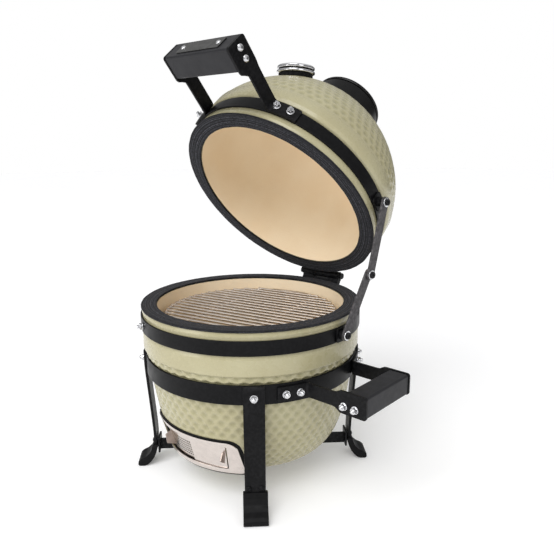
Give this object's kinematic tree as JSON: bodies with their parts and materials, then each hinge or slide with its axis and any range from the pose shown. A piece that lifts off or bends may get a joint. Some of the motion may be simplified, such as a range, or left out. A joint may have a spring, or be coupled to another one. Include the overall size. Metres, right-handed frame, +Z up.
{
  "type": "ceramic charcoal grill",
  "caption": "Small egg-shaped ceramic charcoal grill on a low black strap stand, hinged dimpled lid open, wire grate, side and lid handles, sliding draft vent.",
  "frame": {"origin": "on the floor under the centre of the bowl", "axes": "+Z up, -Y to the front where the draft vent is, +X towards the side handle"},
  "size_m": [0.4027, 0.4338, 0.6142],
  "materials": {
    "glaze": "glossy sage-green ceramic glaze, dimpled",
    "raw_ceramic": "unglazed cream ceramic",
    "felt": "dense black felt gasket",
    "black_coat": "satin black powder coat on steel",
    "link_steel": "dark grey coated flat steel",
    "handle": "matt black moulded handle",
    "sleeve": "black foot sleeve",
    "fastener": "bright plated steel",
    "grate_steel": "bright drawn wire",
    "vent_steel": "bright stainless sheet",
    "cast_iron": "black seasoned cast iron",
    "seal": "black heat-proof seal",
    "dial": "white printed dial",
    "glass": "clear dial glass"
  },
  "bodies": {
    "base": {"band_bolt": "fastener", "bowl": "glaze", "bowl_gasket": "felt", "charcoal_grate": "cast_iron", "cooking_grate": "grate_steel", "fire_bowl": "raw_ceramic", "foot_back_left": "sleeve", "foot_back_right": "sleeve", "foot_front_left": "sleeve", "foot_front_right": "sleeve", "hinge_band": "black_coat", "hinge_base_leaf": "black_coat", "leg_back_left": "black_coat", "leg_back_right": "black_coat", "leg_bolt_back_left": "fastener", "leg_bolt_back_right": "fastener", "leg_bolt_front_left": "fastener", "leg_bolt_front_right": "fastener", "leg_front_left": "black_coat", "leg_front_right": "black_coat", "lower_bar_a": "black_coat", "lower_bar_b": "black_coat", "side_flange_bolt_a": "fastener", "side_flange_bolt_b": "fastener", "side_flange_bolt_c": "fastener", "side_flange_bolt_d": "fastener", "side_handle_arm_back": "black_coat", "side_handle_arm_front": "black_coat", "side_handle_bar": "handle", "side_handle_rod_inner": "fastener", "side_handle_rod_outer": "fastener", "stand_band": "black_coat", "stay_bracket_low": "black_coat", "vent_frame": "vent_steel", "vent_seal": "seal"},
    "lid": {"cap_base": "cast_iron", "hinge_lid_leaf": "black_coat", "lid_band": "black_coat", "lid_dome": "glaze", "lid_flange_bolt_a": "fastener", "lid_flange_bolt_b": "fastener", "lid_flange_bolt_c": "fastener", "lid_flange_bolt_d": "fastener", "lid_gasket": "felt", "lid_handle_arm_left": "black_coat", "lid_handle_arm_right": "black_coat", "lid_handle_bar": "handle", "lid_handle_plate": "fastener", "lid_handle_rod_inner": "fastener", "lid_handle_rod_outer": "fastener", "stay_bracket_high": "black_coat", "thermometer_case": "fastener", "thermometer_dial": "dial", "thermometer_glass": "glass"},
    "stay_lower": {"stay_lower_link": "link_steel"},
    "stay_upper": {"stay_upper_link": "link_steel"},
    "door": {"draft_door": "vent_steel"},
    "screen": {"ember_screen": "vent_steel"},
    "cap_wheel_body": {"cap_wheel": "cast_iron"}
  },
  "joints": [
    {"name": "lid_hinge", "type": "hinge", "parent": "base", "child": "lid", "pos_m": [0, 0.1729, 0.2687], "axis": [1, 0, 0], "range_deg": [0, 51.14]},
    {"name": "stay_lower_pivot", "type": "hinge", "parent": "base", "child": "stay_lower", "pos_m": [0.1694, 0.004, 0.238], "axis": [1, 0, 0], "range_deg": [-61.4, 0]},
    {"name": "stay_upper_pivot", "type": "hinge", "parent": "lid", "child": "stay_upper", "pos_m": [0.173, 0.08417, 0.4064], "axis": [1, 0, 0], "range_deg": [0, 22.8]},
    {"name": "door_slide", "type": "hinge", "parent": "base", "child": "door", "pos_m": [0, 0, 0.073], "axis": [0, 0, 1], "range_deg": [-19, 0]},
    {"name": "screen_slide", "type": "hinge", "parent": "base", "child": "screen", "pos_m": [0, 0, 0.073], "axis": [0, 0, 1], "range_deg": [-13.5, 0]},
    {"name": "cap_turn", "type": "hinge", "parent": "lid", "child": "cap_wheel_body", "pos_m": [0, 0.23441, 0.5403], "axis": [0, 0.7787, 0.6274], "range_deg": [0, 36]}
  ],
  "couplings": [
    {"joint": "stay_lower_pivot", "follows": "lid_hinge", "ratio": -1.1988},
    {"joint": "stay_upper_pivot", "follows": "lid_hinge", "ratio": 0.44329}
  ]
}
